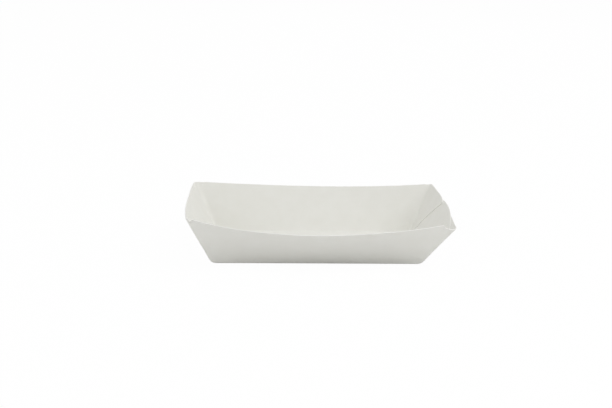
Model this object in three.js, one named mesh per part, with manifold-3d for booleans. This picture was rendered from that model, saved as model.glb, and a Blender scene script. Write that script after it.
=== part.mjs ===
// A shallow food tray folded from one die-cut sheet of white paperboard.
// Millimetres, +Z up, the long side along X. The origin is on the underside,
// in the middle of the flat bottom. The front side faces -Y.
import * as THREE from 'three';
import { mergeVertices } from 'three/addons/utils/BufferGeometryUtils.js';
import Module from 'manifold-3d';

// The sheet and its folds
const BOARD_THICKNESS = 0.45;
const GLUE_BITE = 0.08;
const FOLD_RADIUS = 3.5;
const BOTTOM_CORNER_REACH = 4;

// The flat bottom between its four folds
const BOTTOM_LENGTH = 144;
const BOTTOM_WIDTH = 76;

// The rim at the corners: height above the table and flare past the bottom folds
const CORNER_HEIGHT = 35.2;
const SIDE_FLARE = 15;
const LEFT_END_FLARE = 17;
const RIGHT_END_FLARE = 18.7;
const OPENED_CORNER_SHIFT = new THREE.Vector3(7.5, -1.3, 0);
const LOW_CORNER_SHIFT = new THREE.Vector3(0, 0, -1);

// How far the middle of each rim leans out, and how far it lies below the corners
const FRONT_BOW = 9.3;
const FRONT_DIP = 7.7;
const BACK_BOW = 6.8;
const BACK_DIP = 5.9;
const LEFT_BULGE = 3;
const RIGHT_BULGE = 1.8;

// The soft upright bends: how far they reach along the side rim and the end rim
const BEND_ON_SIDE = 11.5;
const BEND_ON_END = 6;
const OPENED_BEND_ON_SIDE = 10;
const OPENED_BEND_ON_END = 9;
const TIGHT_BEND = 5;

// The wings of the side walls, glued to the ends. Each is a sector of the sheet
// about its bottom corner, so its free edge points at that corner.
const WING_REACH = 0.5;
const WING_ROUNDING_START = 0.6;
const WING_ROUNDING_DROP = 0.12;
const LEFT_WING_DROP = 1.5;
const RIGHT_BACK_WING_DROP = 2.9;
const RIGHT_FRONT_WING_DROP = 6.5;

// Share of a bend within which the top falls from the corner peak to the wing
const PEAK_SHARE = 0.5;

// The end panels: an arched top edge, given as drops from the corner height
const LEFT_PANEL = { peakDrop: 1.5, edgeDrop: 2 };
const RIGHT_PANEL = { peakDrop: 2.2, edgeDrop: 8 };

// Flat strip by which every wall runs on into the bottom
const FLAT_LIP = 0.5;

// Facets: across a wall, a bend, a wing or panel, and up the fold and the wall
const SIDE_STEPS = 28;
const BEND_STEPS = 10;
const WING_STEPS = 12;
const PANEL_STEPS = 20;
const PANEL_STEPS_IN_BEND = 6;
const FOLD_STEPS = 4;
const RISE_STEPS = 6;

// Eight stretches run round the tray, anticlockwise seen from above. A place is
// the number of the stretch plus the share of it that is passed.
// The odd numbers are the upright bends.
const FRONT_SIDE = 0;
const RIGHT_END = 2;
const BACK_SIDE = 4;
const LEFT_END = 6;
const STRETCHES = 8;

// A climb runs up the sheet: 0 to 1 flat lip, 1 to 2 bottom fold, 2 to 3 wall
const LIP_END = 1;
const FOLD_END = 2;
const TOP = 3;

const LAYER_STEP = BOARD_THICKNESS - GLUE_BITE;
const UP = new THREE.Vector3(0, 0, 1);

const wasm = await Module();
wasm.setup();

const { lerp, smoothstep } = THREE.MathUtils;

// A side of an outline: a straight line whose middle is moved by an offset
function bowedLine(from, to, middleOffset) {
  const control = from.clone().lerp(to, 0.5).addScaledVector(middleOffset, 2);
  return new THREE.QuadraticBezierCurve3(from, control, to);
}

// A closed outline of four bowed sides and four soft corners. A reach is the
// length that a corner takes from the side before it and the side after it.
function softOutline(corners, middleOffsets, reaches) {
  const sides = corners.map((corner, i) => {
    const next = (i + 1) % corners.length;
    const curve = bowedLine(corner, corners[next], middleOffsets[i]);
    const length = corner.distanceTo(corners[next]);
    return { curve, start: reaches[i][1] / length, end: 1 - reaches[next][0] / length };
  });
  return sides.flatMap((side, i) => {
    const next = sides[(i + 1) % sides.length];
    const corner = corners[(i + 1) % corners.length];
    const bend = new THREE.QuadraticBezierCurve3(
      side.curve.getPoint(side.end),
      corner,
      next.curve.getPoint(next.start),
    );
    return [side, { curve: bend, start: 0, end: 1 }];
  });
}

function outlinePoint(outline, place) {
  const wrapped = THREE.MathUtils.euclideanModulo(place, STRETCHES);
  const { curve, start, end } = outline[Math.floor(wrapped)];
  return curve.getPoint(lerp(start, end, wrapped % 1));
}

// Corners in the order front left, front right, back right, back left
function bottomOutline() {
  const x = BOTTOM_LENGTH / 2;
  const y = BOTTOM_WIDTH / 2;
  const corners = [[-x, -y], [x, -y], [x, y], [-x, y]];
  const still = new THREE.Vector3();
  return softOutline(
    corners.map(([cx, cy]) => new THREE.Vector3(cx, cy, 0)),
    corners.map(() => still),
    corners.map(() => [BOTTOM_CORNER_REACH, BOTTOM_CORNER_REACH]),
  );
}

function rimOutline() {
  const left = -BOTTOM_LENGTH / 2 - LEFT_END_FLARE;
  const right = BOTTOM_LENGTH / 2 + RIGHT_END_FLARE;
  const y = BOTTOM_WIDTH / 2 + SIDE_FLARE;
  return softOutline(
    [
      new THREE.Vector3(left, -y, CORNER_HEIGHT),
      new THREE.Vector3(right, -y, CORNER_HEIGHT).add(OPENED_CORNER_SHIFT),
      new THREE.Vector3(right, y, CORNER_HEIGHT).add(LOW_CORNER_SHIFT),
      new THREE.Vector3(left, y, CORNER_HEIGHT),
    ],
    [
      new THREE.Vector3(0, -FRONT_BOW, -FRONT_DIP),
      new THREE.Vector3(RIGHT_BULGE, 0, 0),
      new THREE.Vector3(0, BACK_BOW, -BACK_DIP),
      new THREE.Vector3(-LEFT_BULGE, 0, 0),
    ],
    [
      [BEND_ON_END, BEND_ON_SIDE],
      [OPENED_BEND_ON_SIDE, OPENED_BEND_ON_END],
      [TIGHT_BEND, TIGHT_BEND],
      [BEND_ON_SIDE, BEND_ON_END],
    ],
  );
}

const BOTTOM = bottomOutline();
const RIM = rimOutline();

// The outer face of the tray: at each place a flat lip, a fold arc and a straight
// line towards the rim. The share is the part of the way to the rim at the top.
function outerFace(place, climb, share) {
  const base = outlinePoint(BOTTOM, place);
  const toRim = outlinePoint(RIM, place).sub(base);
  const outward = new THREE.Vector3(toRim.x, toRim.y, 0);
  const slope = Math.atan2(toRim.z, outward.length());
  outward.normalize();
  const tangent = FOLD_RADIUS * Math.tan(slope / 2);
  if (climb <= LIP_END) {
    return base.addScaledVector(outward, -tangent - FLAT_LIP * (LIP_END - climb));
  }
  if (climb <= FOLD_END) {
    const turn = slope * (climb - LIP_END);
    base.addScaledVector(outward, FOLD_RADIUS * Math.sin(turn) - tangent);
    return base.addScaledVector(UP, FOLD_RADIUS * (1 - Math.cos(turn)));
  }
  const length = toRim.length();
  return base.addScaledVector(toRim, lerp(tangent / length, share, climb - FOLD_END));
}

// The direction from the outer face into the tray, square to the sheet
function inwardNormal(place, climb) {
  if (climb <= LIP_END) {
    return UP.clone();
  }
  const step = 1e-3;
  const above = Math.min(climb + step, TOP);
  const along = outerFace(place + step, climb, 1).sub(outerFace(place - step, climb, 1));
  const rise = outerFace(place, above, 1).sub(outerFace(place, above - 2 * step, 1));
  return rise.cross(along).normalize();
}

// A point of the sheet at a depth behind the outer face
function sheetPoint(place, climb, share, depth) {
  const normal = inwardNormal(place, Math.min(climb, FOLD_END + share * (climb - FOLD_END)));
  return outerFace(place, climb, share).addScaledVector(normal, depth);
}

// Layers part from the common bottom fold and are one board apart above it
function layerLift(climb) {
  return smoothstep(climb, LIP_END, FOLD_END + 0.15);
}

function closedManifold(geometry) {
  const bare = geometry.clone();
  bare.deleteAttribute('normal');
  bare.deleteAttribute('uv');
  const merged = mergeVertices(bare, 1e-5);
  const index = merged.index.array;
  const triangles = [];
  for (let i = 0; i < index.length; i += 3) {
    const [a, b, c] = index.slice(i, i + 3);
    if (a !== b && b !== c && c !== a) {
      triangles.push(a, b, c);
    }
  }
  return new wasm.Manifold(new wasm.Mesh({
    numProp: 3,
    vertProperties: Float32Array.from(merged.attributes.position.array),
    triVerts: Uint32Array.from(triangles),
  }));
}

// The climb of each row of facets, from the lip to the top edge
function climbOfRow(row) {
  if (row <= 1) {
    return row;
  }
  if (row <= 1 + FOLD_STEPS) {
    return LIP_END + (row - 1) / FOLD_STEPS;
  }
  return FOLD_END + (row - 1 - FOLD_STEPS) / RISE_STEPS;
}

// A bent piece of the sheet: a box of facets whose columns run along the tray,
// whose rows climb it and whose two faces lie one board apart
function bentSheet(columns, pointOf) {
  const rows = 1 + FOLD_STEPS + RISE_STEPS;
  const geometry = new THREE.BoxGeometry(columns, rows, 1, columns, rows, 1);
  const position = geometry.attributes.position;
  for (let i = 0; i < position.count; i += 1) {
    const column = Math.round(position.getX(i) + columns / 2);
    const row = Math.round(position.getY(i) + rows / 2);
    const face = position.getZ(i) < 0 ? BOARD_THICKNESS : 0;
    const point = pointOf(column, climbOfRow(row), face);
    position.setXYZ(i, point.x, point.y, point.z);
  }
  return closedManifold(geometry);
}

// Share of the way to the rim at which a wing is cut, by its ray from 0 to 1
function wingTop(ray, wing) {
  const drop = lerp(wing.cornerDrop, wing.farDrop, ray);
  const turned = (ray - WING_ROUNDING_START) / (1 - WING_ROUNDING_START);
  const rounding = 1 - Math.sqrt(1 - Math.max(0, turned) ** 2);
  return (1 - drop / CORNER_HEIGHT) * (1 - WING_ROUNDING_DROP * rounding);
}

// How far along its end a ray of a wing has come at a share of the height. The
// rays leave one bottom corner and are straight on the sheet.
function alongEnd(ray, share) {
  const rimWidth = BOTTOM_WIDTH + 2 * SIDE_FLARE;
  return share * ray * WING_REACH * rimWidth / lerp(BOTTOM_WIDTH, rimWidth, share);
}

// A point of a wing, which starts where its bend ends and runs on along the end
function wingPoint(start, direction, ray, climb, wing, face) {
  const top = wingTop(ray, wing);
  const foldShare = FOLD_RADIUS / CORNER_HEIGHT / 2;
  const share = climb <= FOLD_END
    ? foldShare * Math.max(0, climb - LIP_END)
    : lerp(foldShare, top, climb - FOLD_END);
  const place = start + direction * alongEnd(ray, share);
  return sheetPoint(place, climb, top, face + wing.depth * layerLift(climb));
}

// A point of a soft upright bend, whose top falls from the wall to the wing
function bendPoint(start, direction, passed, climb, wing, face) {
  const top = 1 - smoothstep(passed, 0, PEAK_SHARE) * wing.cornerDrop / CORNER_HEIGHT;
  const depth = smoothstep(passed, 0, 1) * wing.depth * layerLift(climb);
  return sheetPoint(start + direction * passed, climb, top, face + depth);
}

// A side wall with its two upright bends and its two wings, one piece of sheet
function sideBand(side, wingBefore, wingAfter) {
  const half = SIDE_STEPS / 2 + BEND_STEPS + WING_STEPS;
  return bentSheet(2 * half, (column, climb, face) => {
    const steps = Math.abs(column - half);
    const direction = Math.sign(column - half);
    const wing = direction < 0 ? wingBefore : wingAfter;
    const middle = side + 0.5;
    const bendSteps = steps - SIDE_STEPS / 2;
    if (bendSteps <= 0) {
      return sheetPoint(middle + direction * steps / SIDE_STEPS, climb, 1, face);
    }
    if (bendSteps <= BEND_STEPS) {
      const passed = bendSteps / BEND_STEPS;
      return bendPoint(middle + direction * 0.5, direction, passed, climb, wing, face);
    }
    // The rays crowd towards the free edge, where the outline of the wing turns
    const ray = Math.sin((bendSteps - BEND_STEPS) / WING_STEPS * Math.PI / 2);
    return wingPoint(middle + direction * 1.5, direction, ray, climb, wing, face);
  });
}

// An end panel with an arched top edge. Its sides start at the corners of the
// bottom and reach more and more into the bends, by whole facets of theirs.
function endPanel(end, stepsBefore, stepsAfter, panel) {
  const columns = stepsBefore + PANEL_STEPS + stepsAfter;
  return bentSheet(columns, (column, climb, face) => {
    const steps = column - stepsBefore;
    const before = Math.min(steps, 0) / BEND_STEPS;
    const across = THREE.MathUtils.clamp(steps, 0, PANEL_STEPS) / PANEL_STEPS;
    const after = Math.max(steps - PANEL_STEPS, 0) / BEND_STEPS;
    const offCentre = 2 * across - 1;
    const height = Math.max(0, climb - FOLD_END);
    const place = end + across + (before + after) * height;
    const drop = lerp(panel.peakDrop, panel.edgeDrop, offCentre ** 2);
    const depth = LAYER_STEP * layerLift(climb);
    return sheetPoint(place, climb, 1 - drop / CORNER_HEIGHT, face + depth);
  });
}

// The flat bottom, which ends half way across the lips of the folds
function bottomPlate() {
  const points = [];
  for (let stretch = 0; stretch < STRETCHES; stretch += 1) {
    const steps = stretch % 2 === 0 ? 1 : BEND_STEPS;
    for (let step = 0; step < steps; step += 1) {
      const point = outerFace(stretch + step / steps, LIP_END / 2, 1);
      points.push(new THREE.Vector2(point.x, point.y));
    }
  }
  const shape = new THREE.Shape(points);
  const options = { depth: BOARD_THICKNESS, bevelEnabled: false };
  return closedManifold(new THREE.ExtrudeGeometry(shape, options));
}

// The left end has both wings outside its panel. The right end has its front
// wing outside the panel and its back wing inside it.
function foldedTray() {
  const leftWing = { cornerDrop: LEFT_WING_DROP, farDrop: LEFT_WING_DROP, depth: 0 };
  const rightFrontWing = {
    cornerDrop: RIGHT_FRONT_WING_DROP,
    farDrop: RIGHT_BACK_WING_DROP,
    depth: 0,
  };
  const rightBackWing = {
    cornerDrop: RIGHT_BACK_WING_DROP,
    farDrop: RIGHT_BACK_WING_DROP,
    depth: 2 * LAYER_STEP,
  };
  const pieces = [
    bottomPlate(),
    endPanel(LEFT_END, PANEL_STEPS_IN_BEND, PANEL_STEPS_IN_BEND, LEFT_PANEL),
    endPanel(RIGHT_END, PANEL_STEPS_IN_BEND, 0, RIGHT_PANEL),
    sideBand(BACK_SIDE, rightBackWing, leftWing),
    sideBand(FRONT_SIDE, leftWing, rightFrontWing),
  ];
  return pieces.reduce((joined, piece) => joined.add(piece));
}

function geometryOf(manifold) {
  const mesh = manifold.getMesh();
  const geometry = new THREE.BufferGeometry();
  geometry.setAttribute('position', new THREE.BufferAttribute(mesh.vertProperties, 3));
  geometry.setIndex(new THREE.BufferAttribute(mesh.triVerts, 1));
  geometry.computeVertexNormals();
  return geometry;
}

const paperboard = new THREE.MeshStandardMaterial({
  color: new THREE.Color(0.86, 0.86, 0.83),
  roughness: 0.85,
  metalness: 0,
});

const tray = new THREE.Mesh(geometryOf(foldedTray()), paperboard);
tray.name = 'folded_tray';

const group = new THREE.Group();
group.name = 'paper_food_tray';
group.add(tray);

export default group;
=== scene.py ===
"""A food tray folded from one sheet of white paperboard, on a plain white ground.

Metres, +Z up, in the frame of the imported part. The front side faces -Y.
"""

import math

import bmesh
import bpy
from bpy.props import FloatProperty, FloatVectorProperty, IntProperty, PointerProperty
from mathutils import Matrix, Vector, noise


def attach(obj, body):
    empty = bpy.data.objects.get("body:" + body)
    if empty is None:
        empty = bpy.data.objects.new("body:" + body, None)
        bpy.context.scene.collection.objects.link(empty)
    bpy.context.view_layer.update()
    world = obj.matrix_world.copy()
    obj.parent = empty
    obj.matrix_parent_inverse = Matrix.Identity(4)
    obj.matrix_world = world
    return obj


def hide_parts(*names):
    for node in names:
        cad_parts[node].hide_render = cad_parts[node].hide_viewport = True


bl_info = {
    "name": "Folded Food Tray",
    "version": (1, 0, 0),
    "blender": (4, 5, 0),
    "location": "3D View > Sidebar > Food Tray",
    "description": "A food tray folded from one sheet of paperboard, with its stage",
    "category": "Add Mesh",
}

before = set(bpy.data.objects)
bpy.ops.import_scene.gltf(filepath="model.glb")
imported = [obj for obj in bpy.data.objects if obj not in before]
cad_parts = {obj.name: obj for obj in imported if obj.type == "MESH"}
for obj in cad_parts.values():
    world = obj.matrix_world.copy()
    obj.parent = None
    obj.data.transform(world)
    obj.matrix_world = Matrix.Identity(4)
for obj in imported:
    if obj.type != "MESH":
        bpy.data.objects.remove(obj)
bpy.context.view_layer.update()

MM = 0.001

# Eight stretches run round the tray, anticlockwise seen from above. A place is the
# number of the stretch plus the share of it that is passed. Odd ones are bends.
FRONT_SIDE, RIGHT_END, BACK_SIDE, LEFT_END = 0, 2, 4, 6
STRETCHES = 8

# A climb runs up the sheet: 0 to 1 flat lip, 1 to 2 bottom fold, 2 to 3 wall
LIP_END, FOLD_END, TOP = 1.0, 2.0, 3.0

# Faces of the cut edges, where the board's colour gets a painted highlight
CUT_EDGE = "cut_edge"
CUT_ANGLE = math.radians(55)
MERGE_DISTANCE = 1e-6
ZERO_DISTANCE = 1e-7

# Layers are fully apart this far up the wall above the fold
LAYER_RISE = 0.15

# The walls' waves are full from this share of the height. The creases are full up
# to this share of their reach.
SWELL_SHARE, CREASE_SHARE = 0.6, 0.3

# The part of each noise that shows, and how far the roughness strays
FIBRE_BAND, CLOUD_BAND = (0.45, 0.75), (0.3, 0.7)
ROUGHNESS_BAND = (-0.05, 0.06)

# The soft lamps: where each is, its side length and its power in watts
LIGHTS = {
    "key_light": ((0.9, -0.2, 1.1), 0.9, 5.6),
    "top_light": ((0.1, -0.8, 1.4), 1.0, 2.7),
    "back_light": ((0.2, 1.2, 0.7), 1.0, 1.3),
    "left_light": ((-1.1, -0.2, 0.7), 0.9, 2.0),
    "front_light": ((0.0, -1.3, 0.12), 1.0, 0.2),
}
WORLD_STRENGTH = 0.62
UP = Vector((0, 0, 1))

# Half the floor's side, and the share of plain white that the camera sees on it.
# The rest is its own shading, with the tray's shadow.
FLOOR_REACH = 6
FLOOR_WHITE = 0.97

# The photo's camera: its place, its pitch, yaw and roll in degrees, and its focal
# length as a share of the picture's width, both in pixels
CAMERA_PLACE = (-0.0275, -0.8545, 0.262)
CAMERA_TURNS = (15.07, 1.38, 0.63)
FOCAL_PIXELS, PICTURE_PIXELS = 1261, 612
SENSOR_WIDTH = 36
CLIP_START = 0.01


def length_of(name, description, millimetres):
    """A size property, given in millimetres and held in metres"""
    return FloatProperty(
        name=name,
        description=description,
        default=millimetres * MM,
        unit="LENGTH",
        precision=5,
    )


def sizes_of(name, description, millimetres):
    """Two or three size properties in one, given in millimetres"""
    return FloatVectorProperty(
        name=name,
        description=description,
        default=[size * MM for size in millimetres],
        size=len(millimetres),
        unit="LENGTH",
        precision=5,
    )


def share_of(name, description, default):
    """A property that is a share, from 0 to 1"""
    return FloatProperty(name=name, description=description, default=default, subtype="FACTOR")


def count_of(name, description, default):
    return IntProperty(name=name, description=description, default=default, min=1)


def colour_of(name, description, default):
    return FloatVectorProperty(
        name=name, description=description, default=default, subtype="COLOR", size=3, min=0, max=1
    )


class FoodTraySheet(bpy.types.PropertyGroup):
    """Sizes of the folded sheet"""

    board: length_of("Board", "Thickness of the paperboard", 0.45)
    layer_step: length_of("Layer step", "Distance between glued layers", 0.47)
    fold_radius: length_of("Fold radius", "Outer radius of the bottom folds", 3.5)
    bottom_corner: length_of("Bottom corner", "Reach of the bottom's soft corners", 4)
    bottom_length: length_of("Bottom length", "Between the end folds", 144)
    bottom_width: length_of("Bottom width", "Between the side folds", 76)
    corner_height: length_of("Corner height", "Height of the rim's corners", 35.2)
    side_flare: length_of("Side flare", "How far the side rims lean out", 15)
    left_flare: length_of("Left flare", "How far the left end leans out", 17)
    right_flare: length_of("Right flare", "How far the right end leans out", 18.7)
    front_left_shift: sizes_of("Front left shift", "Shift of the rim's corner", (0.4, 0, 1.5))
    front_right_shift: sizes_of("Front right shift", "Shift of its corner", (7.1, -1.1, 0))
    back_right_shift: sizes_of("Back right shift", "Shift of its corner", (-2, 0, -1.6))
    back_left_shift: sizes_of("Back left shift", "Shift of its corner", (0.5, 0, -0.7))
    front_bow: length_of("Front bow", "How far the front rim bows out", 9.3)
    front_dips: sizes_of("Front dips", "How far its left and right halves dip", (10.4, 7.1))
    back_bow: length_of("Back bow", "How far the back rim bows out", 6.8)
    back_dips: sizes_of("Back dips", "How far its right and left halves dip", (5.3, 3.9))
    left_bulge: length_of("Left bulge", "How far the left rim bows out", 2.8)
    right_bulge: length_of("Right bulge", "How far the right rim bows out", 0.7)
    side_fullness: share_of("Side fullness", "Share of a side in which its bow builds up", 0.28)
    front_left_bend: sizes_of("Front left bend", "Reach on the side and end rim", (2.1, 5.3))
    front_right_bend: sizes_of("Front right bend", "Reach on the side and end rim", (1.4, 9.2))
    back_right_bend: sizes_of("Back right bend", "Reach on the side and end rim", (3.1, 2.2))
    back_left_bend: sizes_of("Back left bend", "Reach on the side and end rim", (5.5, 3.7))
    wing_reach: share_of("Wing reach", "Share of the end that a wing covers", 0.5)
    rounding_start: share_of("Rounding start", "Ray at which a wing's top turns down", 0.6)
    rounding_drop: share_of("Rounding drop", "Share of the wing that its rounding drops", 0.06)
    front_left_wing: sizes_of("Front left wing", "Drop at its bend and far end", (2.2, 1.7))
    front_right_wing: sizes_of("Front right wing", "Drop at its bend and far end", (6.3, 3.7))
    back_right_wing: sizes_of("Back right wing", "Drop at its bend and far end", (0.4, 1.7))
    back_left_wing: sizes_of("Back left wing", "Drop at its bend and far end", (0.2, 2))
    front_left_fall: length_of("Front left fall", "From the peak to the bend", 2.3)
    front_right_fall: length_of("Front right fall", "From the peak to the bend", 10.0)
    back_right_fall: length_of("Back right fall", "From the peak to the bend", 2)
    back_left_fall: length_of("Back left fall", "From the peak to the bend", 2)
    left_panel: sizes_of("Left panel", "Drop of its top, in the middle and at a side", (1.4, 1.8))
    right_panel: sizes_of("Right panel", "Drop of its top, in the middle and at a side", (2, 11.4))
    left_overlap: share_of("Left overlap", "Share of each bend that its panel backs", 1.0)
    right_overlap: share_of("Right overlap", "Share of its front bend that the panel backs", 0.6)
    flat_lip: length_of("Flat lip", "Strip by which walls run on into the bottom", 0.5)
    side_steps: count_of("Side steps", "Facets along a side wall", 90)
    bend_steps: count_of("Bend steps", "Facets round a bend", 20)
    wing_steps: count_of("Wing steps", "Facets along a wing", 40)
    panel_steps: count_of("Panel steps", "Facets along an end panel", 60)
    fall_steps: count_of("Fall steps", "Facets from a peak to its bend", 6)
    fold_steps: count_of("Fold steps", "Facets up the bottom fold", 8)
    rise_steps: count_of("Rise steps", "Facets up a wall", 36)
    edge_round: length_of("Edge rounding", "Softening of the cut edges", 0.05)
    unevenness: length_of("Unevenness", "Height of the soft waves of the walls", 0.25)
    wave_length: length_of("Wave length", "Spacing of the soft waves of the walls", 38)
    crumple: length_of("Crumple", "Height of the small creases at the bottom's corners", 0.3)
    crumple_length: length_of("Crumple length", "Spacing of the small creases", 5)
    crumple_reach: length_of("Crumple reach", "How far from a corner they reach", 20)
    score: length_of("Score", "How far the board is pressed in where a fold ends", 0.05)


class FoodTrayFinish(bpy.types.PropertyGroup):
    """Colours and surface of the paperboard and the stage"""

    board_colour: colour_of("Board", "Colour of the paperboard", (0.80, 0.797, 0.757))
    fibre_colour: colour_of("Fibres", "Colour of its darker fibres", (0.765, 0.76, 0.712))
    # The cut edges' colour is a painted highlight: a lighter tone that stands in for light caught
    # on the edges
    edge_highlight_colour: colour_of("Cut edge", "Colour of the cut edges", (0.86, 0.855, 0.83))
    floor_colour: colour_of("Floor", "Colour of the floor and backdrop", (0.94, 0.94, 0.94))
    roughness: share_of("Roughness", "Roughness of the board", 0.72)
    fibre_size: length_of("Fibre size", "Length of the fibres", 0.5)
    mottle_size: length_of("Mottle size", "Size of the faint clouds in the board", 9)
    grain_height: length_of("Grain height", "Height of the grain of the board", 0.012)


def smoothstep(value, low, high):
    t = min(1.0, max(0.0, (value - low) / (high - low)))
    return t * t * (3 - 2 * t)


def mix(a, b, t):
    return a + (b - a) * t


def bezier(points, t):
    while len(points) > 1:
        points = [a.lerp(b, t) for a, b in zip(points, points[1:])]
    return points[0]


def soft_outline(corners, bows, reaches, fullness):
    """Four bowed sides and four soft corners. A reach is the length that a corner
    takes from the side before it and from the side after it. Each side has a bow
    for its first and one for its second half, pulled out at the fullness."""
    sides = []
    for i, corner in enumerate(corners):
        after = corners[(i + 1) % 4]
        controls = [
            corner.lerp(after, share) + bow * 4 / 3
            for share, bow in zip((fullness, 1 - fullness), bows[i])
        ]
        pace = 3 * fullness * (after - corner).length
        start = reaches[i][1] / pace
        end = 1 - reaches[(i + 1) % 4][0] / pace
        sides.append(([corner, *controls, after], start, end))
    outline = []
    for i, side in enumerate(sides):
        after = sides[(i + 1) % 4]
        bend = [bezier(side[0], side[2]), corners[(i + 1) % 4], bezier(after[0], after[1])]
        outline += [side, (bend, 0.0, 1.0)]
    return outline


def outline_point(outline, place):
    """The point of an outline at a place round the tray"""
    points, start, end = outline[int(place % STRETCHES)]
    return bezier(points, mix(start, end, place % STRETCHES % 1))


class FoldedSheet:
    """The shape of the folded sheet, from its sizes"""

    def __init__(self, s):
        self.s = s
        x, y = s.bottom_length / 2, s.bottom_width / 2
        corners = [Vector((cx, cy, 0)) for cx, cy in ((-x, -y), (x, -y), (x, y), (-x, y))]
        self.bottom = soft_outline(
            corners, [(Vector(), Vector())] * 4, [(s.bottom_corner,) * 2] * 4, s.side_fullness
        )
        y += s.side_flare
        left, right, z = -x - s.left_flare, x + s.right_flare, s.corner_height
        self.rim = soft_outline(
            [
                Vector((left, -y, z)) + Vector(s.front_left_shift),
                Vector((right, -y, z)) + Vector(s.front_right_shift),
                Vector((right, y, z)) + Vector(s.back_right_shift),
                Vector((left, y, z)) + Vector(s.back_left_shift),
            ],
            [
                [Vector((0, -s.front_bow, -dip)) for dip in s.front_dips],
                [Vector((s.right_bulge, 0, 0))] * 2,
                [Vector((0, s.back_bow, -dip)) for dip in s.back_dips],
                [Vector((-s.left_bulge, 0, 0))] * 2,
            ],
            [
                tuple(s.front_left_bend)[::-1],
                s.front_right_bend[:],
                tuple(s.back_right_bend)[::-1],
                s.back_left_bend[:],
            ],
            s.side_fullness,
        )

    def outer_face(self, place, climb, share):
        """A flat lip, a fold arc and a straight line towards the rim at each place"""
        s = self.s
        base = outline_point(self.bottom, place)
        to_rim = outline_point(self.rim, place) - base
        outward = Vector((to_rim.x, to_rim.y, 0))
        slope = math.atan2(to_rim.z, outward.length)
        outward.normalize()
        tangent = s.fold_radius * math.tan(slope / 2)
        if climb <= LIP_END:
            return base - outward * (tangent + s.flat_lip * (LIP_END - climb))
        if climb <= FOLD_END:
            turn = slope * (climb - LIP_END)
            base += outward * (s.fold_radius * math.sin(turn) - tangent)
            return base + UP * s.fold_radius * (1 - math.cos(turn))
        return base + to_rim * mix(tangent / to_rim.length, share, climb - FOLD_END)

    def inward_normal(self, place, climb):
        if climb <= LIP_END:
            return UP.copy()
        step = 1e-3
        above = min(climb + step, TOP)
        along = self.outer_face(place + step, climb, 1) - self.outer_face(place - step, climb, 1)
        rise = self.outer_face(place, above, 1) - self.outer_face(place, above - 2 * step, 1)
        return rise.cross(along).normalized()

    def point(self, place, climb, share, depth):
        """A point of the sheet at a depth behind the outer face"""
        normal = self.inward_normal(place, min(climb, FOLD_END + share * (climb - FOLD_END)))
        point = self.outer_face(place, climb, share)
        if climb == FOLD_END:
            depth += self.s.score
        return point + normal * (depth + self.wave(point))

    def wave(self, point):
        """The soft unevenness of a handled sheet, with small creases near the
        corners of the bottom, and none on the bottom itself"""
        s = self.s
        swell = smoothstep(point.z, s.fold_radius, s.corner_height * SWELL_SHARE)
        waves = noise.noise(point / s.wave_length) * s.unevenness * swell
        corner = Vector((abs(point.x) - s.bottom_length / 2, abs(point.y) - s.bottom_width / 2))
        away = math.hypot(corner.x, corner.y, point.z) / s.crumple_reach
        creased = 1 - smoothstep(away, CREASE_SHARE, 1)
        creased *= smoothstep(point.z, 0, s.fold_radius)
        return waves + noise.noise(point / s.crumple_length) * s.crumple * creased

    def layer_lift(self, climb):
        """Layers part from the common bottom fold"""
        return smoothstep(climb, LIP_END, FOLD_END + LAYER_RISE)

    def wing_top(self, ray, wing):
        """The share of the climb at which a wing is cut, along its rays"""
        s = self.s
        drop = mix(*wing["drops"], ray)
        turned = max(0.0, (ray - s.rounding_start) / (1 - s.rounding_start))
        rounding = 1 - math.sqrt(1 - min(1.0, turned) ** 2)
        return (1 - drop / s.corner_height) * (1 - s.rounding_drop * rounding)

    def wing_point(self, start, direction, ray, climb, wing):
        """A point of a wing, a sector of the sheet about its bottom corner"""
        s = self.s
        top = self.wing_top(ray, wing)
        fold_share = s.fold_radius / s.corner_height / 2
        share = fold_share * (climb - LIP_END)
        if climb > FOLD_END:
            share = mix(fold_share, top, climb - FOLD_END)
        rim_width = s.bottom_width + 2 * s.side_flare
        width = mix(s.bottom_width, rim_width, share)
        place = start + direction * share * ray * s.wing_reach * rim_width / width
        return self.point(place, climb, top, wing["depth"] * self.layer_lift(climb))

    def wall_point(self, side, direction, passed, fallen, climb, wing):
        """A point of half a side wall: first passed up to its corner peak, then
        fallen from there to the bend, from 0 to 1 each"""
        s = self.s
        fall = wing["fall"] / (3 * s.side_fullness * s.bottom_length)
        half = mix(0, 0.5 - fall, passed) + fall * fallen
        top = 1 - fallen * (2 - fallen) * wing["drops"][0] / s.corner_height
        return self.point(side + 0.5 + direction * half, climb, top, 0)

    def bend_point(self, start, direction, passed, climb, wing):
        """A point of a soft bend between a wall and its wing"""
        s = self.s
        top = 1 - wing["drops"][0] / s.corner_height
        depth = smoothstep(passed, 0, 1) * wing["depth"] * self.layer_lift(climb)
        return self.point(start + direction * passed, climb, top, depth)

    def climb_of_row(self, row):
        """The climb of a row of facets, from the lip to the top edge"""
        s = self.s
        if row <= 1:
            return float(row)
        if row <= 1 + s.fold_steps:
            return LIP_END + (row - 1) / s.fold_steps
        return FOLD_END + (row - 1 - s.fold_steps) / s.rise_steps


def add_bent_grid(mesh, columns, rows, point_of):
    """A grid of facets, bent by a function of the column and the row"""
    made = bmesh.ops.create_grid(mesh, x_segments=columns, y_segments=rows, size=0.5)
    for vertex in made["verts"]:
        column = round((vertex.co.x + 0.5) * columns)
        row = round((vertex.co.y + 0.5) * rows)
        vertex.co = point_of(column, row)


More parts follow.
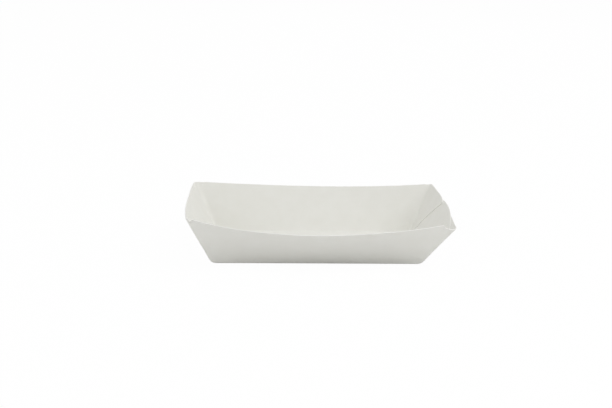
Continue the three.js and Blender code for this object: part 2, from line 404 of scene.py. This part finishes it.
def add_side_band(mesh, sheet, side, before, after):
    """A side wall with its two upright bends and its two wings"""
    s = sheet.s
    rows = 1 + s.fold_steps + s.rise_steps
    wall_steps = s.side_steps // 2
    half = wall_steps + s.fall_steps + s.bend_steps
    middle = side + 0.5

    def band_point(column, row):
        climb = sheet.climb_of_row(row)
        steps = abs(column - half)
        direction = -1 if column < half else 1
        wing = before if column < half else after
        bend_steps = steps - wall_steps - s.fall_steps
        if bend_steps <= 0:
            fallen = max(0, steps - wall_steps) / s.fall_steps
            passed = min(1, steps / wall_steps)
            return sheet.wall_point(side, direction, passed, fallen, climb, wing)
        passed = bend_steps / s.bend_steps
        return sheet.bend_point(middle + direction * 0.5, direction, passed, climb, wing)

    add_bent_grid(mesh, 2 * half, rows, band_point)
    for direction, wing in ((-1, before), (1, after)):

        def wing_point(column, row, direction=direction, wing=wing):
            # Columns run the same way round on both wings, so both face outwards
            step = column if direction > 0 else s.wing_steps - column
            ray = math.sin(step / s.wing_steps * math.pi / 2)
            climb = sheet.climb_of_row(row + 1)
            return sheet.wing_point(middle + direction * 1.5, direction, ray, climb, wing)

        add_bent_grid(mesh, s.wing_steps, rows - 1, wing_point)


def add_end_panel(mesh, sheet, end, before, after, drops):
    """An end panel with an arched top, backing the bends more towards the top"""
    s = sheet.s

    def panel_point(column, row):
        climb = sheet.climb_of_row(row)
        steps = column - before
        across = min(1.0, max(0.0, steps / s.panel_steps))
        beyond = (min(steps, 0) + max(steps - s.panel_steps, 0)) / s.bend_steps
        place = end + across + beyond * max(0.0, climb - FOLD_END)
        drop = mix(*drops, (2 * across - 1) ** 2)
        depth = s.layer_step * sheet.layer_lift(climb)
        return sheet.point(place, climb, 1 - drop / s.corner_height, depth)

    rows = 1 + s.fold_steps + s.rise_steps
    add_bent_grid(mesh, before + s.panel_steps + after, rows, panel_point)


def close_bottom(mesh):
    """Fills the flat bottom inside the lips of the folds"""
    loop = [
        edge
        for edge in mesh.edges
        if edge.is_boundary and all(abs(vertex.co.z) < ZERO_DISTANCE for vertex in edge.verts)
    ]
    made = bmesh.ops.edgeloop_fill(mesh, edges=loop)
    if len(made["faces"]) != 1:
        raise RuntimeError("the lips of the folds don't close round the bottom")


def thicken(mesh, board):
    """Gives the sheet its thickness, inwards from the outer face"""
    bmesh.ops.recalc_face_normals(mesh, faces=mesh.faces[:])
    bottom = max(mesh.faces, key=lambda face: face.calc_area())
    if bottom.normal.z > 0:
        bmesh.ops.reverse_faces(mesh, faces=mesh.faces[:])
    bmesh.ops.solidify(mesh, geom=mesh.faces[:], thickness=board)


def mark_cut_edges(mesh, round_by):
    """Softens the cut edges and marks their faces for the material, which paints a highlight on
    them
    """
    rims = {edge for edge in mesh.edges if edge.calc_face_angle(0) > CUT_ANGLE}
    is_cut = mesh.faces.layers.float.new(CUT_EDGE)
    for face in mesh.faces:
        face[is_cut] = float(len(rims.intersection(face.edges)) >= 2)
    rounded = bmesh.ops.bevel(
        mesh,
        geom=list(rims),
        offset=round_by,
        offset_type="OFFSET",
        segments=2,
        profile=0.5,
        affect="EDGES",
        material=-1,
        clamp_overlap=True,
    )
    for face in rounded["faces"]:
        face[is_cut] = 1


def finished_object(mesh, name, material):
    """A smooth-shaded object in the scene, from a mesh that is then freed"""
    for face in mesh.faces:
        face.smooth = True
    data = bpy.data.meshes.new(name)
    mesh.to_mesh(data)
    mesh.free()
    data.materials.append(material)
    made = bpy.data.objects.new(name, data)
    bpy.context.scene.collection.objects.link(made)
    return made


def node_group(name, inputs, outputs):
    """An empty shader group with its sockets, and its input and output node"""
    group = bpy.data.node_groups.new(name, "ShaderNodeTree")
    for direction, sockets in (("INPUT", inputs), ("OUTPUT", outputs)):
        for socket_name, kind in sockets:
            group.interface.new_socket(name=socket_name, in_out=direction, socket_type=kind)
    start = group.nodes.new("NodeGroupInput")
    end = group.nodes.new("NodeGroupOutput")
    return group, start, end


def board_grain_group():
    """Faint clouds and fine fibres of paperboard: a mask for each and a height"""
    group, start, end = node_group(
        "board_grain",
        [
            ("Fibre Scale", "NodeSocketFloat"),
            ("Mottle Scale", "NodeSocketFloat"),
        ],
        [
            ("Fibres", "NodeSocketFloat"),
            ("Clouds", "NodeSocketFloat"),
            ("Height", "NodeSocketFloat"),
        ],
    )
    nodes, links = group.nodes, group.links
    place = nodes.new("ShaderNodeTexCoord")
    fibres = nodes.new("ShaderNodeTexNoise")
    fibres.inputs["Detail"].default_value = 4
    fibres.inputs["Roughness"].default_value = 0.6
    fibres.inputs["Distortion"].default_value = 1.5
    clouds = nodes.new("ShaderNodeTexNoise")
    clouds.inputs["Detail"].default_value = 3
    links.new(place.outputs["Object"], fibres.inputs["Vector"])
    links.new(place.outputs["Object"], clouds.inputs["Vector"])
    links.new(start.outputs["Fibre Scale"], fibres.inputs["Scale"])
    links.new(start.outputs["Mottle Scale"], clouds.inputs["Scale"])
    height = nodes.new("ShaderNodeMath")
    height.operation = "MULTIPLY_ADD"
    height.inputs[1].default_value = 0.35
    links.new(clouds.outputs["Fac"], height.inputs[0])
    links.new(fibres.outputs["Fac"], height.inputs[2])
    links.new(fibres.outputs["Fac"], end.inputs["Fibres"])
    links.new(clouds.outputs["Fac"], end.inputs["Clouds"])
    links.new(height.outputs["Value"], end.inputs["Height"])
    return group


def ranged(nodes, links, value, band, to_low, to_high):
    """A value mapped from a band to another range"""
    node = nodes.new("ShaderNodeMapRange")
    node.inputs["From Min"].default_value = band[0]
    node.inputs["From Max"].default_value = band[1]
    node.inputs["To Min"].default_value = to_low
    node.inputs["To Max"].default_value = to_high
    links.new(value, node.inputs["Value"])
    return node.outputs["Result"]


def blended(nodes, links, factor, first, second):
    """Two colours, or a colour and a socket, blended by a factor"""
    node = nodes.new("ShaderNodeMix")
    node.data_type = "RGBA"
    links.new(factor, node.inputs["Factor"])
    for socket, value in ((node.inputs[6], first), (node.inputs[7], second)):
        if isinstance(value, bpy.types.NodeSocket):
            links.new(value, socket)
        else:
            socket.default_value = (*value, 1)
    return node.outputs[2]


def paperboard_material(finish):
    """White paperboard with faint fibres and clouds, and a painted highlight on its cut edges
    where they catch the light
    """
    material = bpy.data.materials.new("white_paperboard")
    material.use_nodes = True
    nodes, links = material.node_tree.nodes, material.node_tree.links
    shader = nodes["Principled BSDF"]
    grain = nodes.new("ShaderNodeGroup")
    grain.node_tree = board_grain_group()
    grain.inputs["Fibre Scale"].default_value = 1 / finish.fibre_size
    grain.inputs["Mottle Scale"].default_value = 1 / finish.mottle_size
    fibres = ranged(nodes, links, grain.outputs["Fibres"], FIBRE_BAND, 0, 1)
    clouds = ranged(nodes, links, grain.outputs["Clouds"], CLOUD_BAND, 0, 0.5)
    tone = nodes.new("ShaderNodeMath")
    tone.operation = "MULTIPLY_ADD"
    tone.inputs[1].default_value = 0.5
    tone.use_clamp = True
    links.new(fibres, tone.inputs[0])
    links.new(clouds, tone.inputs[2])
    colour = blended(
        nodes, links, tone.outputs["Value"], finish.board_colour, finish.fibre_colour
    )
    # Painted highlight: the cut edges' faces get a lighter colour that stands in for light caught
    # on them
    edge = nodes.new("ShaderNodeAttribute")
    edge.attribute_name = CUT_EDGE
    colour = blended(nodes, links, edge.outputs["Fac"], colour, finish.edge_highlight_colour)
    links.new(colour, shader.inputs["Base Color"])
    least, most = (finish.roughness + stray for stray in ROUGHNESS_BAND)
    rough = ranged(nodes, links, grain.outputs["Clouds"], CLOUD_BAND, least, most)
    links.new(rough, shader.inputs["Roughness"])
    shader.inputs["Specular IOR Level"].default_value = 0.35
    bump = nodes.new("ShaderNodeBump")
    bump.inputs["Strength"].default_value = 0.6
    bump.inputs["Distance"].default_value = finish.grain_height
    links.new(grain.outputs["Height"], bump.inputs["Height"])
    links.new(bump.outputs["Normal"], shader.inputs["Normal"])
    return material


def seen_white(nodes, links, shader, share):
    """The shader, turned towards plain white by a share where the camera, a
    reflection or a glass surface looks straight at it"""
    path = nodes.new("ShaderNodeLightPath")
    seen = nodes.new("ShaderNodeMath")
    seen.operation = "MAXIMUM"
    links.new(path.outputs["Is Camera Ray"], seen.inputs[0])
    links.new(path.outputs["Is Glossy Ray"], seen.inputs[1])
    through = nodes.new("ShaderNodeMath")
    through.operation = "MAXIMUM"
    links.new(seen.outputs["Value"], through.inputs[0])
    links.new(path.outputs["Is Transmission Ray"], through.inputs[1])
    factor = nodes.new("ShaderNodeMath")
    factor.operation = "MULTIPLY"
    factor.inputs[1].default_value = share
    links.new(through.outputs["Value"], factor.inputs[0])
    white = nodes.new("ShaderNodeEmission")
    white.inputs["Strength"].default_value = 1
    mixed = nodes.new("ShaderNodeMixShader")
    links.new(factor.outputs["Value"], mixed.inputs["Fac"])
    links.new(shader, mixed.inputs[1])
    links.new(white.outputs["Emission"], mixed.inputs[2])
    return mixed.outputs["Shader"]


class OBJECT_OT_tray_sheet(bpy.types.Operator):
    """Build the folded sheet with its bottom, walls, wings and end panels"""

    bl_idname = "object.tray_sheet"
    bl_label = "Folded Sheet"
    bl_options = {"REGISTER", "UNDO"}

    def execute(self, context):
        s = context.scene.food_tray_sheet
        sheet = FoldedSheet(s)
        wings = {
            corner: {
                "drops": getattr(s, corner + "_wing")[:],
                "fall": getattr(s, corner + "_fall"),
                "depth": 0,
            }
            for corner in ("front_left", "front_right", "back_right", "back_left")
        }
        wings["back_right"]["depth"] = 2 * s.layer_step
        in_left, in_right = (
            round(overlap * s.bend_steps) for overlap in (s.left_overlap, s.right_overlap)
        )
        mesh = bmesh.new()
        add_side_band(mesh, sheet, FRONT_SIDE, wings["front_left"], wings["front_right"])
        add_side_band(mesh, sheet, BACK_SIDE, wings["back_right"], wings["back_left"])
        add_end_panel(mesh, sheet, LEFT_END, in_left, in_left, s.left_panel[:])
        add_end_panel(mesh, sheet, RIGHT_END, in_right, 0, s.right_panel[:])
        bmesh.ops.remove_doubles(mesh, verts=mesh.verts[:], dist=MERGE_DISTANCE)
        bmesh.ops.dissolve_degenerate(mesh, edges=mesh.edges[:], dist=ZERO_DISTANCE)
        close_bottom(mesh)
        thicken(mesh, s.board)
        mark_cut_edges(mesh, s.edge_round)
        material = paperboard_material(context.scene.food_tray_finish)
        piece = finished_object(mesh, "tray_sheet", material)
        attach(piece, "root")
        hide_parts("folded_tray")
        return {"FINISHED"}


class OBJECT_OT_tray_stage(bpy.types.Operator):
    """Set the white ground, the soft lights and the camera"""

    bl_idname = "object.tray_stage"
    bl_label = "Stage"
    bl_options = {"REGISTER", "UNDO"}

    def execute(self, context):
        finish = context.scene.food_tray_finish
        mesh = bmesh.new()
        bmesh.ops.create_grid(mesh, x_segments=1, y_segments=1, size=FLOOR_REACH)
        ground = bpy.data.materials.new("white_ground")
        ground.use_nodes = True
        nodes, links = ground.node_tree.nodes, ground.node_tree.links
        shader = nodes["Principled BSDF"]
        shader.inputs["Base Color"].default_value = (*finish.floor_colour, 1)
        shader.inputs["Roughness"].default_value = 0.9
        shader.inputs["Specular IOR Level"].default_value = 0.1
        surface = seen_white(nodes, links, shader.outputs["BSDF"], FLOOR_WHITE)
        links.new(surface, nodes["Material Output"].inputs["Surface"])
        finished_object(mesh, "floor", ground)
        self.light_world(context)
        self.add_lights()
        self.add_camera(context)
        context.scene.view_settings.view_transform = "Standard"
        return {"FINISHED"}

    def light_world(self, context):
        """White surroundings, plain white where the camera sees them"""
        world = bpy.data.worlds.new("studio")
        context.scene.world = world
        world.use_nodes = True
        nodes, links = world.node_tree.nodes, world.node_tree.links
        shader = nodes["Background"]
        shader.inputs["Color"].default_value = (1, 1, 1, 1)
        shader.inputs["Strength"].default_value = WORLD_STRENGTH
        surface = seen_white(nodes, links, shader.outputs["Background"], 1)
        links.new(surface, nodes["World Output"].inputs["Surface"])

    def add_lights(self):
        """Square lamps that all face the tray"""
        for name, (location, size, power) in LIGHTS.items():
            data = bpy.data.lights.new(name, "AREA")
            data.size = size
            data.energy = power
            lamp = bpy.data.objects.new(name, data)
            lamp.location = location
            lamp.rotation_euler = Vector(location).to_track_quat("Z", "Y").to_euler()
            bpy.context.scene.collection.objects.link(lamp)

    def add_camera(self, context):
        """The camera that was fitted to the photo's outline"""
        pitch, yaw, roll = (math.radians(angle) for angle in CAMERA_TURNS)
        forward = Vector((
            math.sin(yaw) * math.cos(pitch), math.cos(yaw) * math.cos(pitch), -math.sin(pitch)
        ))
        level = Vector((math.cos(yaw), -math.sin(yaw), 0))
        above = level.cross(forward)
        right = level * math.cos(roll) + above * math.sin(roll)
        up = above * math.cos(roll) - level * math.sin(roll)
        data = bpy.data.cameras.new("camera")
        data.sensor_width = SENSOR_WIDTH
        data.lens = FOCAL_PIXELS / PICTURE_PIXELS * SENSOR_WIDTH
        data.clip_start = CLIP_START
        camera = bpy.data.objects.new("camera", data)
        turned = Matrix((right, up, -forward)).transposed().to_4x4()
        camera.matrix_world = Matrix.Translation(CAMERA_PLACE) @ turned
        context.scene.collection.objects.link(camera)
        context.scene.camera = camera


class VIEW3D_PT_food_tray(bpy.types.Panel):
    """Sizes, colours and pieces of the food tray"""

    bl_idname = "VIEW3D_PT_food_tray"
    bl_label = "Food Tray"
    bl_space_type = "VIEW_3D"
    bl_region_type = "UI"
    bl_category = "Food Tray"

    def draw(self, context):
        layout = self.layout
        for settings in (context.scene.food_tray_sheet, context.scene.food_tray_finish):
            column = layout.column(align=True)
            for name in settings.__annotations__:
                column.prop(settings, name)
        layout.operator(OBJECT_OT_tray_sheet.bl_idname)
        layout.operator(OBJECT_OT_tray_stage.bl_idname)


CLASSES = (
    FoodTraySheet,
    FoodTrayFinish,
    OBJECT_OT_tray_sheet,
    OBJECT_OT_tray_stage,
    VIEW3D_PT_food_tray,
)


def register():
    for cls in CLASSES:
        bpy.utils.register_class(cls)
    bpy.types.Scene.food_tray_sheet = PointerProperty(type=FoodTraySheet)
    bpy.types.Scene.food_tray_finish = PointerProperty(type=FoodTrayFinish)


def unregister():
    del bpy.types.Scene.food_tray_finish
    del bpy.types.Scene.food_tray_sheet
    for cls in reversed(CLASSES):
        bpy.utils.unregister_class(cls)


def main():
    register()
    bpy.ops.object.tray_sheet()
    bpy.ops.object.tray_stage()


if __name__ == "__main__":
    main()
